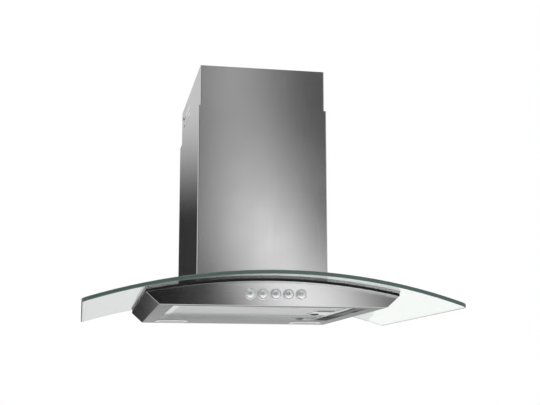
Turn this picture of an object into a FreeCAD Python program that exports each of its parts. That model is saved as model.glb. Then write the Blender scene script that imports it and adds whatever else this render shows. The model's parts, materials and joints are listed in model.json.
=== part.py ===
import FreeCAD, Part
import math
import os

# Curved glass range hood. Millimetres. X runs to the right, Y points at the wall, Z up.
# The origin is the middle of the four wall screws, in the plane of the wall.

V = FreeCAD.Vector

# ---------------------------------------------------------------- driving dimensions

fixing_height = 175.0           # wall screws' middle, above the underside of the glass's ends
wall_screw_pitch_x = 130.0
wall_screw_pitch_z = 160.0
wall_screw_hole = 8.0
screw_head_access = 14.0        # holes in the blower box that let a screw's head through

# glass canopy
glass_width = 600.0
glass_side_depth = 465.0
glass_bow = 20.0                # how far the front edge swells out in plan
glass_wall_gap = 20.0
glass_thickness = 6.0
arch_rise = 46.0                # crown of the arch above its ends
glass_front_corner = 12.0
glass_back_corner = 6.0
glass_edge_round = 1.2
glass_hole = 8.0
notch_gap = 3.0                 # glass notch to blower box
gasket_thickness = 4.0
gasket_width = 12.0

# canopy body
sheet = 1.0
body_width = 364.0              # across the flat underside
body_depth = 440.0
body_lift = 2.5                 # underside of the body, above the underside of the glass's ends
side_slope = 48.0               # lean of the flared sides, degrees from upright
fold_round = 1.6
fascia_thickness = 1.5
fascia_edge_round = 0.4
rim_side = 24.0
rear_strip = 122.0
recess_depth = 7.0
tray_ledge = 10.0
air_hole_lip = 10.0

# push buttons and their switches
button_count = 5
button_pitch = 20.4
button_height = 18.4            # middle of the row, above the underside of the body
button_dia = 13.4
button_gap = 0.4
button_reach = 4.6              # cap's crown, in front of the fascia
button_crown = 1.6
button_travel = 2.5
button_shoulder = 0.8
shoulder_thickness = 1.5
shoulder_gap = 0.8
stem_dia = 5.0
stem_gap = 0.35
stem_end_gap = 0.5
bezel_ring = 1.2                # how far a bezel's flange stands out round its sleeve
bezel_reach = 1.8
bezel_sleeve = 3.5
bezel_wall = 0.7
switch_margin_x = 26.0          # housing past the outer buttons' middles
switch_half_height = 12.0
switch_wall = 2.0
partition_thickness = 2.5
board_thickness = 1.6
switch_block = 8.0
switch_block_depth = 5.0
switch_screw_dia = 3.0
switch_screw_head = 6.0
switch_screw_head_height = 2.2
switch_tray_gap = 1.1           # switch screws' heads to the filter tray

# grease filter, its hooks and its latch
filter_thickness = 9.0
filter_side_gap = 2.0
filter_pivot_gap = 3.5          # pivot's axis to the recess's left wall
filter_pivot_inset = 3.0        # pivot's axis to the filter's own edge
filter_top_gap = 0.5
filter_rail = 12.0
filter_rail_wall = 1.0
groove_depth = 4.0
mesh_thickness = 7.0
mesh_layers = 4
mesh_sheet = 0.6
pivot_dia = 3.0
pivot_length = 20.0
pivot_web = 1.5
pivot_inset_y = 45.0
hook_gap = 0.4
hook_thickness = 1.1
hook_width = 26.0
latch_width = 36.0
latch_length = 94.0
latch_from_back = 46.0          # latch housing to the filter's rear edge
latch_wall = 2.0
finger_length = 24.0
finger_depth = 6.0
tongue_width = 20.0
tongue_thickness = 3.0
tongue_gap = 0.5
tongue_travel = 6.0
tongue_from_end = 6.0           # tongue's edge to the latch housing's rear end
tongue_reach = 1.6              # past the filter's edge, short of the recess's wall
knob_length = 10.0
knob_drop = 1.0                 # below the filter's underside

# lamps
lamp_x = 130.0
lamp_dia = 55.0
lamp_wall = 2.0
lamp_height = 15.5
lamp_hole_gap = 0.5
lamp_bezel_overlap = 3.5
lamp_bezel_lip = 3.0
lamp_bezel_thickness = 1.2
lens_thickness = 1.5
lamp_board_gap = 3.0
driver_size = (50.0, 22.0, 15.0)
driver_x = 55.0
driver_wall_gap = 4.0

# blower box and wall plate
plate_thickness = 2.0
plate_bottom = 60.0             # above the underside of the glass's ends
box_width = 176.0
box_depth = 255.0
box_top = 293.0                 # above the underside of the glass's ends

# scroll, impeller and motor
axle_ahead = 15.5               # in front of the blower box's middle
axle_height = 165.0             # above the underside of the glass's ends
impeller_dia = 150.0
impeller_bore_dia = 120.0
impeller_width = 84.0
impeller_ring = 1.5
impeller_disc = 2.0
blade_count = 24
blade_sweep = 11.0              # degrees
blade_middle_sweep = 4.0        # degrees, at the blade's middle
blade_thickness_angle = 0.9     # degrees
hub_dia = 26.0
hub_length = 13.0
tongue_clearance = 9.0          # impeller to the scroll's tongue
scroll_growth = 9.0             # more room after each quarter turn
scroll_wall = 1.5
scroll_side_gap = 2.5
outlet_plate_gap = 2.0          # outlet plate to the blower box's walls
outlet_plate_thick = 1.5
inlet_dia = 124.0
motor_dia = 84.0
motor_length = 59.0
motor_disc_gap = 2.0
motor_round = 5.0
shaft_dia = 8.0
shaft_fit = 0.05
shaft_end_gap = 2.0
bracket_thickness = 2.0
bracket_ring_width = 8.0
bracket_ring_gap = 2.0
bracket_arm = 9.0
bracket_arms = 3
capacitor_dia = 28.0
capacitor_length = 50.0
capacitor_side_gap = 8.0
capacitor_height = 90.0         # above the underside of the glass's ends

# outlet collar and backdraft flaps
collar_dia = 149.8
collar_wall = 1.9
collar_height = 52.0
collar_flange = 7.0
collar_flange_thickness = 2.0
flap_pin_dia = 3.0
flap_pin_height = 14.0          # above the blower box
flap_fit = 0.05
flap_gap = 1.0
flap_thickness = 1.2
flap_split = 3.6                # plate's straight edge to the pin's middle
knuckle_dia = 6.0
knuckle_length = 20.0
knuckle_gap = 5.0
front_knuckle_x = 50.0
stop_width = 3.0
stop_thickness = 1.5
stop_gap = 0.4

# electrical box
junction_size = (74.0, 35.0, 70.0)
junction_side_gap = 6.0         # its left side, in from the blower box's
junction_drop = 35.0            # its top, below the blower box's top
junction_wall = 2.0
gland_dia = 18.0
gland_bore = 8.0
gland_height = 20.0
gland_nut_height = 7.0
gland_nut_dia = 24.0

# chimney covers
chimney_side_gap = 23.5         # blower box's sides to the lower cover's
chimney_front_gap = 30.0        # electrical box's lid to the lower cover's front
chimney_height = 355.0          # top of the lower cover, above the underside of the glass's ends
chimney_glass_gap = 0.5
chimney_round = 2.0
telescope_gap = 2.0
upper_length = 290.0
upper_showing = 72.0
upper_wall_gap = 3.0
vent_count = 2
vent_length = 110.0
vent_width = 4.0
vent_pitch = 14.0
vent_top_gap = 22.0
vent_from_wall = 42.0
foot_thickness = 1.5
foot_height = 16.0
foot_above_glass = 60.0         # above the underside of the glass's ends
foot_depth = 26.0
foot_wall_gap = 5.0
ear_thickness = 1.5
ear_depth = 35.0
ear_height = 24.0
ear_top_gap = 4.0
ear_hole = 5.5
ear_hole_pitch = 120.0

# screws
cover_screw_dia = 3.8
cover_screw_head = 7.0
cover_screw_head_height = 1.8
cover_screw_length = 8.0
ear_screw_from_wall = 20.0
glass_screw_beside = 12.0       # screws' middles, beside the blower box
glass_screw_ahead = 33.0        # front screws' middles, in front of the blower box
glass_screw_back = 60.0         # from the wall
glass_screw_dia = 5.0
glass_screw_head = 10.0
glass_screw_head_height = 3.0
glass_screw_length = 18.0
washer_dia = 14.0
washer_thickness = 1.0

# ---------------------------------------------------------------- places worked out from them

z_end = -fixing_height
z_body = z_end + body_lift
arch_radius = (glass_width ** 2 / 4 + arch_rise ** 2) / (2 * arch_rise)
arch_centre_z = z_end + arch_rise - arch_radius
gasket_radius = arch_radius - gasket_thickness
lining_radius = gasket_radius - sheet
glass_top_radius = arch_radius + glass_thickness

body_half = body_width / 2
front_y = -body_depth
body_front_y = front_y + fascia_thickness
glass_front_y = -glass_wall_gap - glass_side_depth
flare = math.tan(math.radians(side_slope))
flare_shift = sheet / math.cos(math.radians(side_slope))

box_half = box_width / 2
box_back_y = -plate_thickness
box_front_y = box_back_y - box_depth
z_box_top = z_end + box_top
z_plate = z_end + plate_bottom
junction_x = junction_side_gap + junction_size[0] / 2 - box_half
notch_half = box_half + notch_gap
notch_front_y = box_front_y - notch_gap
glass_screw_front = glass_screw_ahead - box_front_y
glass_screw_x = box_half + glass_screw_beside

chimney_half = box_half + chimney_side_gap + sheet
chimney_depth = plate_thickness + box_depth + junction_size[1] + junction_wall + chimney_front_gap + sheet
upper_half = chimney_half - sheet - telescope_gap
upper_front_y = -chimney_depth + sheet + telescope_gap
z_chimney = z_end + chimney_height
z_upper_top = z_chimney + upper_showing
z_upper_bottom = z_upper_top - upper_length

axle_y = (box_front_y + box_back_y) / 2 - axle_ahead
z_axle = z_end + axle_height
scroll_radius = impeller_dia / 2 + tongue_clearance
scroll_inner_half = impeller_width / 2 + scroll_side_gap
scroll_half = scroll_inner_half + scroll_wall
outlet_back_y = axle_y + scroll_radius + 3 * scroll_growth
collar_y = (axle_y + outlet_back_y) / 2
z_pin = z_box_top + flap_pin_height
collar_radius = collar_dia / 2
collar_bore_radius = collar_radius - collar_wall
knuckle_step = knuckle_length + knuckle_gap

button_half_span = (button_count - 1) / 2 * button_pitch
z_button = z_body + button_height
button_radius = button_dia / 2
bezel_bore_radius = button_radius + button_gap
bezel_sleeve_radius = bezel_bore_radius + bezel_wall
sleeve_end_y = front_y + bezel_sleeve
shoulder_y = sleeve_end_y + shoulder_gap
switch_front_y = body_front_y + sheet
partition_y = shoulder_y + shoulder_thickness + button_travel + shoulder_gap
switch_half = button_half_span + switch_margin_x
stem_end_y = partition_y + partition_thickness + stem_end_gap
block_y = stem_end_y + button_travel + stem_end_gap
board_y = block_y + switch_block_depth
switch_back_y = board_y + board_thickness
switch_screw_x = switch_half - switch_screw_head

recess_half = body_half - rim_side
recess_front_y = switch_back_y + switch_screw_head_height + switch_tray_gap + sheet
recess_back_y = -rear_strip
z_filter = z_body + recess_depth
z_filter_top = z_filter + filter_thickness
z_ledge = z_filter_top + filter_top_gap

filter_left = -recess_half + filter_pivot_gap + filter_pivot_inset
filter_right = recess_half - filter_side_gap
filter_front_y = recess_front_y + filter_side_gap
filter_back_y = recess_back_y - filter_side_gap
pivot_x = -recess_half + filter_pivot_gap
z_pivot = z_filter + filter_thickness / 2
latch_right = filter_right - filter_rail
latch_left = latch_right - latch_width
latch_back_y = filter_back_y - latch_from_back
latch_front_y = latch_back_y - latch_length
tongue_y = latch_back_y - tongue_width / 2 - tongue_from_end
z_tongue = z_pivot
knob_x = latch_left + latch_wall + tongue_travel + tongue_gap + knob_length / 2


# ---------------------------------------------------------------- small geometry helpers

def box(x0, x1, y0, y1, z0, z1):
    return Part.makeBox(x1 - x0, y1 - y0, z1 - z0, V(x0, y0, z0))


def rod_x(radius, x0, x1, y, z):
    return Part.makeCylinder(radius, x1 - x0, V(x0, y, z), V(1, 0, 0))


def rod_y(radius, y0, y1, x, z):
    return Part.makeCylinder(radius, y1 - y0, V(x, y0, z), V(0, 1, 0))


def rod_z(radius, z0, z1, x, y):
    return Part.makeCylinder(radius, z1 - z0, V(x, y, z0), V(0, 0, 1))


def fuse(shapes):
    return shapes[0].multiFuse(shapes[1:]).removeSplitter()


def mirrored(shape):
    return shape.mirror(V(0, 0, 0), V(1, 0, 0))


def both_sides(shape):
    return [shape, mirrored(shape)]


def line(a, b):
    return Part.LineSegment(a, b).toShape()


def arc(a, middle, b):
    return Part.Arc(a, middle, b).toShape()


def prism(edges, direction):
    return Part.Face(Part.Wire(edges)).extrude(direction)


def upright_edges(shape, wanted):
    """Straight edges along Z whose lower end satisfies wanted(x, y)."""
    found = []
    for edge in shape.Edges:
        a, b = edge.Vertexes[0].Point, edge.Vertexes[-1].Point
        if abs(a.x - b.x) + abs(a.y - b.y) < 1e-6 and wanted(a.x, a.y):
            found.append(edge)
    return found


def edges_at(shape, wanted):
    """Edges whose every vertex satisfies wanted(point)."""
    return [e for e in shape.Edges if all(wanted(v.Point) for v in e.Vertexes)]


def arch_height(x, radius):
    return arch_centre_z + math.sqrt(radius ** 2 - x ** 2)


def arch_point(x, y, radius):
    return V(x, y, arch_height(x, radius))


def arch_band(half, low_radius, high_radius, y0, y1):
    """Layer of the arch between two radii, straight along Y."""
    low = [arch_point(x, y0, low_radius) for x in (-half, 0, half)]
    high = [arch_point(x, y0, high_radius) for x in (half, 0, -half)]
    edges = [arc(*low), line(low[2], high[0]), arc(*high), line(high[2], low[0])]
    return prism(edges, V(0, y1 - y0, 0))


def under_arch(half, radius, y0, y1):
    """Everything below one radius of the arch, down past the body."""
    floor = z_end - body_depth
    low = [V(-half, y0, floor), V(half, y0, floor)]
    high = [arch_point(x, y0, radius) for x in (half, 0, -half)]
    edges = [line(low[0], low[1]), line(low[1], high[0]), arc(*high), line(high[2], low[0])]
    return prism(edges, V(0, y1 - y0, 0))


def on_arch(shape, x):
    """Tilt a shape that stands on the arch's crown round to the place over x."""
    turned = shape.copy()
    turned.rotate(V(0, 0, arch_centre_z), V(0, 1, 0), math.degrees(math.asin(x / arch_radius)))
    return turned


# ---------------------------------------------------------------- canopy body and glass

def side_meets_arch(shift, radius):
    """Corner where a flared side, moved in by shift, meets the arch."""
    start = body_half - shift - flare * z_body
    a = flare ** 2 + 1
    b = 2 * (flare * start - arch_centre_z)
    c = start ** 2 + arch_centre_z ** 2 - radius ** 2
    z = (-b + math.sqrt(b * b - 4 * a * c)) / (2 * a)
    return start + flare * z, z


def body_section(shift, lift, radius, y0, y1):
    """Cross-section of the body: flat underside, flared sides and arched top."""
    low_z = z_body + lift
    low_x = body_half - shift + flare * lift
    top_x, top_z = side_meets_arch(shift, radius)
    a, b = V(-low_x, y0, low_z), V(low_x, y0, low_z)
    c, d = V(top_x, y0, top_z), V(-top_x, y0, top_z)
    edges = [line(a, b), line(b, c), arc(c, arch_point(0, y0, radius), d), line(d, a)]
    return prism(edges, V(0, y1 - y0, 0))


def glass_screw_places():
    return [(x, -y) for y in (glass_screw_front, glass_screw_back) for x in (-glass_screw_x, glass_screw_x)]


def arch_holes(dia):
    reach = arch_radius + glass_thickness * 3
    return [on_arch(rod_z(dia / 2, lining_radius + arch_centre_z - sheet, reach + arch_centre_z, 0, y), x)
            for x, y in glass_screw_places()]


def glass_canopy():
    half = glass_width / 2
    low, tall = z_end - arch_rise, 3 * arch_rise
    corners = [V(-half, glass_front_y, low), V(half, glass_front_y, low),
               V(half, -glass_wall_gap, low), V(-half, -glass_wall_gap, low)]
    swell = V(0, glass_front_y - glass_bow, low)
    plan = prism([arc(corners[0], swell, corners[1]), line(corners[1], corners[2]),
                  line(corners[2], corners[3]), line(corners[3], corners[0])], V(0, 0, tall))
    plan = plan.makeFillet(glass_front_corner, upright_edges(plan, lambda x, y: y < notch_front_y))
    plan = plan.makeFillet(glass_back_corner, upright_edges(plan, lambda x, y: y > -glass_wall_gap - 1))
    band = arch_band(half + 1, arch_radius, glass_top_radius, glass_front_y - glass_bow - 1, 0)
    pane = band.common(plan)
    outline = [e for e in pane.Edges if e.BoundBox.ZLength < arch_rise and not is_upright(e)]
    pane = pane.makeFillet(glass_edge_round, outline)
    notch = box(-notch_half, notch_half, notch_front_y, 0, low, low + tall)
    return pane.cut(notch).cut(fuse(arch_holes(glass_hole)))


def is_upright(edge):
    size = edge.BoundBox
    return size.XLength < 1e-3 and size.YLength < 1e-3


def glass_gasket():
    half = side_meets_arch(0, gasket_radius)[0]
    layer = arch_band(half, gasket_radius, arch_radius, front_y, -glass_wall_gap)
    low, high = z_body, z_end + 2 * arch_rise
    inner = box(gasket_width - half, half - gasket_width, front_y + gasket_width,
                -glass_wall_gap - gasket_width, low, high)
    pad_half = glass_screw_x + washer_dia / 2
    pad = box(-pad_half, pad_half, -glass_screw_front - washer_dia / 2, 0, low, high)
    notch = box(-notch_half, notch_half, notch_front_y, 0, low, high)
    return layer.cut(inner.cut(pad)).cut(notch).cut(fuse(arch_holes(glass_hole)))


def canopy_body():
    outer = body_section(0, 0, gasket_radius, body_front_y, 0)
    folds = [e for e in edges_at(outer, lambda p: p.z < z_body + sheet) if e.BoundBox.YLength > 1]
    outer = outer.makeFillet(fold_round, folds)
    inner = body_section(flare_shift, sheet, lining_radius, switch_front_y, -sheet)
    shell = outer.cut(inner)
    recess = box(-recess_half, recess_half, recess_front_y, recess_back_y, z_body - 1, z_body + 2 * sheet)
    air_half = box_half - air_hole_lip
    air = box(-air_half, air_half, box_front_y + air_hole_lip, box_back_y - air_hole_lip,
              z_body + recess_depth, z_end + 2 * arch_rise)
    window = box(-button_half_span - bezel_sleeve_radius, button_half_span + bezel_sleeve_radius,
                 body_front_y - 1, switch_front_y + 1,
                 z_button - switch_half_height + switch_wall, z_button + switch_half_height - switch_wall)
    lamps = [rod_z(lamp_dia / 2 + lamp_hole_gap, z_body - 1, z_body + 2 * sheet, x, lamp_y())
             for x in (-lamp_x, lamp_x)]
    screws = [rod_y(switch_screw_dia / 2, body_front_y - 1, switch_front_y + 1, x, z_button)
              for x in (-switch_screw_x, switch_screw_x)]
    return shell.cut(fuse([recess, air, window] + lamps + screws + arch_holes(glass_screw_dia)))


def front_fascia():
    plate = body_section(0, 0, gasket_radius, front_y, body_front_y)
    face_edges = edges_at(plate, lambda p: p.y < front_y + 1e-3)
    plate = plate.makeFillet(fascia_edge_round, face_edges)
    holes = [rod_y(bezel_sleeve_radius, front_y - 1, body_front_y + 1, x, z_button) for x in button_places()]
    return plate.cut(fuse(holes))


def filter_tray():
    """Sheet frame round the filter's recess, with the ledge that the filter closes against."""
    outer = box(-recess_half - sheet, recess_half + sheet, recess_front_y - sheet, recess_back_y + sheet,
                z_body + sheet, z_ledge + sheet)
    inside = box(-recess_half, recess_half, recess_front_y, recess_back_y, z_body, z_ledge)
    air = box(tray_ledge - recess_half, recess_half - tray_ledge, recess_front_y + tray_ledge,
              recess_back_y - tray_ledge, z_body, z_ledge + 2 * sheet)
    return outer.cut(inside).cut(air)


# ---------------------------------------------------------------- controls

def button_places():
    return [i * button_pitch - button_half_span for i in range(button_count)]


def button_bezels():
    rings = []
    for x in button_places():
        flange = rod_y(bezel_sleeve_radius + bezel_ring, front_y - bezel_reach, front_y, x, z_button)
        rim = edges_at(flange, lambda p: p.y < front_y - bezel_reach + 1e-3)
        flange = flange.makeFillet(bezel_reach / 2, rim)
        sleeve = rod_y(bezel_sleeve_radius, front_y, sleeve_end_y, x, z_button)
        bore = rod_y(bezel_bore_radius, front_y - 2 * bezel_reach, sleeve_end_y + 1, x, z_button)
        rings.append(fuse([flange, sleeve]).cut(bore))
    return rings


def push_button(x):
    face_y = front_y - button_reach + button_crown
    cap = rod_y(button_radius, face_y, shoulder_y, x, z_button)
    sphere_radius = (button_radius ** 2 + button_crown ** 2) / (2 * button_crown)
    ball = Part.makeSphere(sphere_radius, V(x, face_y - button_crown + sphere_radius, z_button))
    crown = ball.common(rod_y(button_radius, face_y - 2 * button_crown, face_y, x, z_button))
    shoulder = rod_y(bezel_bore_radius + button_shoulder, shoulder_y, shoulder_y + shoulder_thickness, x, z_button)
    stem = rod_y(stem_dia / 2, shoulder_y, stem_end_y, x, z_button)
    return fuse([crown, cap, shoulder, stem])


def switch_housing():
    low, high = z_button - switch_half_height, z_button + switch_half_height
    shell = box(-switch_half, switch_half, switch_front_y, switch_back_y, low, high)
    pocket_half = button_half_span + button_pitch / 2
    front = box(-pocket_half, pocket_half, switch_front_y - 1, partition_y, low + switch_wall, high - switch_wall)
    back = box(-pocket_half, pocket_half, partition_y + partition_thickness, switch_back_y + 1,
               low + switch_wall, high - switch_wall)
    stems = [rod_y(stem_dia / 2 + stem_gap, switch_front_y, switch_back_y, x, z_button) for x in button_places()]
    screws = [rod_y(switch_screw_dia / 2, switch_front_y - 1, switch_back_y + 1, x, z_button)
              for x in (-switch_screw_x, switch_screw_x)]
    return shell.cut(fuse([front, back])).cut(fuse(stems + screws))


def switch_board():
    half = button_half_span + button_pitch / 2
    return box(-half, half, board_y, switch_back_y,
               z_button - switch_half_height + switch_wall, z_button + switch_half_height - switch_wall)


def switch_blocks():
    half = switch_block / 2
    return [box(x - half, x + half, block_y, board_y, z_button - half, z_button + half) for x in button_places()]


def switch_screws():
    screws = []
    for x in (-switch_screw_x, switch_screw_x):
        head = rod_y(switch_screw_head / 2, switch_back_y, switch_back_y + switch_screw_head_height, x, z_button)
        shank = rod_y(switch_screw_dia / 2, body_front_y, switch_back_y, x, z_button)
        screws.append(fuse([head, shank]))
    return screws


# ---------------------------------------------------------------- grease filter

def pivot_places():
    return [filter_front_y + pivot_inset_y, filter_back_y - pivot_inset_y]


def filter_frame():
    outer = box(filter_left, filter_right, filter_front_y, filter_back_y, z_filter, z_filter_top)
    window = box(filter_left + filter_rail, filter_right - filter_rail, filter_front_y + filter_rail,
                 filter_back_y - filter_rail, z_filter - 1, z_filter_top + 1)
    slot_half = tongue_width / 2 + tongue_gap
    slot = box(latch_right - 1, filter_right + 1, tongue_y - slot_half, tongue_y + slot_half,
               z_tongue - tongue_thickness / 2 - tongue_gap, z_tongue + tongue_thickness / 2 + tongue_gap)
    inset = filter_rail - groove_depth
    groove = box(filter_left + inset, filter_right - inset, filter_front_y + inset, filter_back_y - inset,
                 z_filter + filter_rail_wall, z_filter + filter_rail_wall + mesh_thickness)
    frame = outer.cut(window).cut(slot).cut(groove)
    pins = []
    for y in pivot_places():
        pin = rod_y(pivot_dia / 2, y - pivot_length / 2, y + pivot_length / 2, pivot_x, z_pivot)
        web = box(pivot_x, filter_left + 1, y - pivot_length / 2, y + pivot_length / 2,
                  z_pivot - pivot_web / 2, z_pivot + pivot_web / 2)
        pins += [pin, web]
    return fuse([frame] + pins)


def filter_mesh():
    """Flat layers of expanded metal, clamped one above the other in the frame's groove."""
    inset = filter_rail - groove_depth
    pocket = box(latch_left, filter_right, latch_front_y, latch_back_y, z_filter - 1, z_filter_top + 1)
    rise = (mesh_thickness - mesh_sheet) / (mesh_layers - 1)
    layers = []
    for i in range(mesh_layers):
        low = z_filter + filter_rail_wall + i * rise
        layer = box(filter_left + inset, filter_right - inset, filter_front_y + inset, filter_back_y - inset,
                    low, low + mesh_sheet)
        layers.append(layer.cut(pocket))
    return layers


def latch_housing():
    block = box(latch_left, latch_right, latch_front_y, latch_back_y, z_filter, z_filter_top)
    finger = box(latch_left + latch_wall, latch_right - latch_wall, latch_front_y + latch_wall,
                 latch_front_y + latch_wall + finger_length, z_filter - 1, z_filter + finger_depth)
    slot_half = tongue_width / 2 + tongue_gap
    half_thick = tongue_thickness / 2 + tongue_gap
    slot = box(latch_left + latch_wall, latch_right + 1, tongue_y - slot_half, tongue_y + slot_half,
               z_tongue - half_thick, z_tongue + half_thick)
    reach = knob_length / 2 + tongue_gap
    knob = box(knob_x - reach - tongue_travel, knob_x + reach, tongue_y - slot_half, tongue_y + slot_half,
               z_filter - 1, z_tongue)
    return block.cut(fuse([finger, slot, knob]))


def filter_latch():
    half = tongue_width / 2
    back_x = knob_x - knob_length / 2
    tongue = box(back_x, filter_right + tongue_reach, tongue_y - half, tongue_y + half,
                 z_tongue - tongue_thickness / 2, z_tongue + tongue_thickness / 2)
    knob = box(back_x, back_x + knob_length, tongue_y - half, tongue_y + half, z_filter - knob_drop, z_tongue)
    return fuse([tongue, knob])


def filter_hooks():
    hooks = []
    z_top = z_pivot - pivot_dia / 2 - hook_gap
    for y in pivot_places():
        shelf = box(-recess_half, pivot_x - hook_gap, y - hook_width / 2, y + hook_width / 2,
                    z_top - hook_thickness, z_top)
        back = box(-recess_half, -recess_half + hook_thickness, y - hook_width / 2, y + hook_width / 2,
                   z_top, z_ledge)
        hooks.append(fuse([shelf, back]))
    return hooks


# ---------------------------------------------------------------- lamps

def lamp_y():
    return -rear_strip / 2


def lamp_pair(shape_at):
    return [shape_at(-lamp_x), shape_at(lamp_x)]


def lamp_can(x):
    outer = rod_z(lamp_dia / 2, z_body, z_body + lamp_height, x, lamp_y())
    inner = rod_z(lamp_dia / 2 - lamp_wall, z_body - 1, z_body + lamp_height - lamp_wall, x, lamp_y())
    return outer.cut(inner)


def lamp_bezel(x):
    outer = rod_z(lamp_dia / 2 + lamp_bezel_overlap, z_body - lamp_bezel_thickness, z_body, x, lamp_y())
    rim = edges_at(outer, lambda p: p.z < z_body - lamp_bezel_thickness + 1e-3)
    outer = outer.makeFillet(lamp_bezel_thickness / 2, rim)
    inner = rod_z(lamp_dia / 2 - lamp_bezel_lip, z_body - 2 * lamp_bezel_thickness, z_body + 1, x, lamp_y())
    return outer.cut(inner)


def lamp_lens(x):
    return rod_z(lamp_dia / 2 - lamp_wall, z_body, z_body + lens_thickness, x, lamp_y())


def lamp_board(x):
    top = z_body + lamp_height - lamp_wall
    return rod_z(lamp_dia / 2 - lamp_wall - lamp_board_gap, top - board_thickness, top, x, lamp_y())


def lamp_driver():
    length, depth, height = driver_size
    low = z_body + sheet
    y1 = -sheet - driver_wall_gap
    return box(driver_x - length / 2, driver_x + length / 2, y1 - depth, y1, low, low + height)


# ---------------------------------------------------------------- blower

def wall_screw_places():
    return [(x, z) for x in (-wall_screw_pitch_x / 2, wall_screw_pitch_x / 2)
            for z in (-wall_screw_pitch_z / 2, wall_screw_pitch_z / 2)]


def wall_plate():
    plate = box(-box_half, box_half, box_back_y, 0, z_plate, z_box_top)
    return plate.cut(fuse([rod_y(wall_screw_hole / 2, box_back_y - 1, 1, x, z) for x, z in wall_screw_places()]))


def blower_box():
    outer = box(-box_half, box_half, box_front_y, box_back_y, z_body, z_box_top)
    inner = box(-box_half + sheet, box_half - sheet, box_front_y + sheet, box_back_y - sheet,
                z_body - 1, z_box_top - sheet)
    outlet = rod_z(collar_bore_radius, z_box_top - 2 * sheet, z_box_top + 1, 0, collar_y)
    access = [rod_y(screw_head_access / 2, box_back_y - 2 * sheet, box_back_y + 1, x, z)
              for x, z in wall_screw_places()]
    below = under_arch(box_half + 1, gasket_radius, box_front_y - 1, 0)
    return outer.cut(inner).cut(below).cut(fuse([outlet] + access))


def scroll_outline(wall, half):
    """Four-centre spiral round the impeller that ends in a straight upright outlet."""
    step, top = scroll_growth, z_box_top - sheet
    first, second, third = [scroll_radius + n * step for n in range(3)]
    diagonal = math.sqrt(0.5)
    tongue_z = z_axle + math.sqrt((first + wall) ** 2 - wall ** 2)
    start = V(-half, axle_y - wall, top)
    tongue = V(-half, axle_y - wall, tongue_z)
    front = V(-half, axle_y - first - wall, z_axle)
    low = V(-half, axle_y + step, z_axle - second - wall)
    back = V(-half, axle_y + step + third + wall, z_axle + step)
    end = V(-half, back.y, top)
    turn = (math.atan2(tongue_z - z_axle, -wall) + math.pi) / 2
    middle_1 = V(-half, axle_y + (first + wall) * math.cos(turn), z_axle + (first + wall) * math.sin(turn))
    middle_2 = V(-half, axle_y + step - (second + wall) * diagonal, z_axle - (second + wall) * diagonal)
    middle_3 = V(-half, axle_y + step + (third + wall) * diagonal, z_axle + step - (third + wall) * diagonal)
    edges = [line(start, tongue), arc(tongue, middle_1, front), arc(front, middle_2, low),
             arc(low, middle_3, back), line(back, end), line(end, start)]
    return prism(edges, V(2 * half, 0, 0))


def scroll_casing():
    """Spiral walls with a round inlet each side."""
    inlets = rod_x(inlet_dia / 2, -scroll_half - 1, scroll_half + 1, axle_y, z_axle)
    walls = scroll_outline(scroll_wall, scroll_half)
    return walls.cut(scroll_outline(0, scroll_inner_half)).cut(inlets)


def outlet_plate():
    """Plate round the scroll's throat, which hangs the scroll under the top of the blower box."""
    half = box_half - sheet - outlet_plate_gap
    back_y = box_back_y - sheet - outlet_plate_gap
    top = z_box_top - sheet
    plate = box(-half, half, 2 * collar_y - back_y, back_y, top - outlet_plate_thick, top)
    return plate.cut(scroll_outline(scroll_wall, scroll_half))


def impeller_blade():
    """One forward-curved blade, standing on the axle's line, before it is turned to its place."""
    half = impeller_width / 2 - impeller_ring

    def at(radius, degrees):
        turn = math.radians(degrees)
        return V(-half, radius * math.cos(turn), radius * math.sin(turn))

    inner, outer = impeller_bore_dia / 2, impeller_dia / 2 - impeller_ring / 2
    radii = [inner, (inner + outer) / 2, outer]
    sweeps = [0, blade_middle_sweep, blade_sweep]
    face = [at(r, a) for r, a in zip(radii, sweeps)]
    back = [at(r, a + blade_thickness_angle) for r, a in zip(radii, sweeps)]
    edges = [arc(*face), line(face[2], back[2]), arc(back[2], back[1], back[0]), line(back[0], face[0])]
    return prism(edges, V(2 * half, 0, 0))


def impeller_disc_solid():
    disc_radius = (impeller_bore_dia + impeller_dia) / 4
    return rod_x(disc_radius, -impeller_disc / 2, impeller_disc / 2, 0, 0)


def on_axle(shape):
    shape.translate(V(0, axle_y, z_axle))
    return shape


def impeller_blades():
    """Blades from ring to ring, each notched for the disc that drives them."""
    blades = []
    for i in range(blade_count):
        blade = impeller_blade()
        blade.rotate(V(0, 0, 0), V(1, 0, 0), i * 360.0 / blade_count)
        blades.append(blade.cut(impeller_disc_solid()))
    return on_axle(fuse(blades))


def impeller_rings():
    half = impeller_width / 2
    rings = []
    for x0 in (-half, half - impeller_ring):
        ring = rod_x(impeller_dia / 2, x0, x0 + impeller_ring, 0, 0)
        rings.append(ring.cut(rod_x(impeller_bore_dia / 2, x0 - 1, x0 + impeller_ring + 1, 0, 0)))
    return on_axle(fuse(rings))


def impeller_hub():
    """Driving disc and its boss, bored for the shaft."""
    boss = rod_x(hub_dia / 2, -impeller_disc / 2, hub_length, 0, 0)
    bore = rod_x(shaft_dia / 2, -impeller_disc, hub_length + 1, 0, 0)
    return on_axle(impeller_disc_solid().fuse(boss).cut(bore))


def motor_end_x():
    return -impeller_disc / 2 - motor_disc_gap


def blower_motor():
    end = motor_end_x()
    can = rod_x(motor_dia / 2, end - motor_length, end, axle_y, z_axle)
    rims = edges_at(can, lambda p: p.x < end - motor_length + 1e-3 or p.x > end - 1e-3)
    rims = [e for e in rims if e.BoundBox.XLength < 1e-3]
    can = can.makeFillet(motor_round, rims)
    bore = rod_x(shaft_dia / 2 + shaft_fit, end - motor_length + shaft_end_gap, end + 1, axle_y, z_axle)
    return can.cut(bore)


def motor_shaft():
    end = motor_end_x()
    return rod_x(shaft_dia / 2, end - motor_length + 2 * shaft_end_gap, hub_length + shaft_end_gap, axle_y, z_axle)


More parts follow.
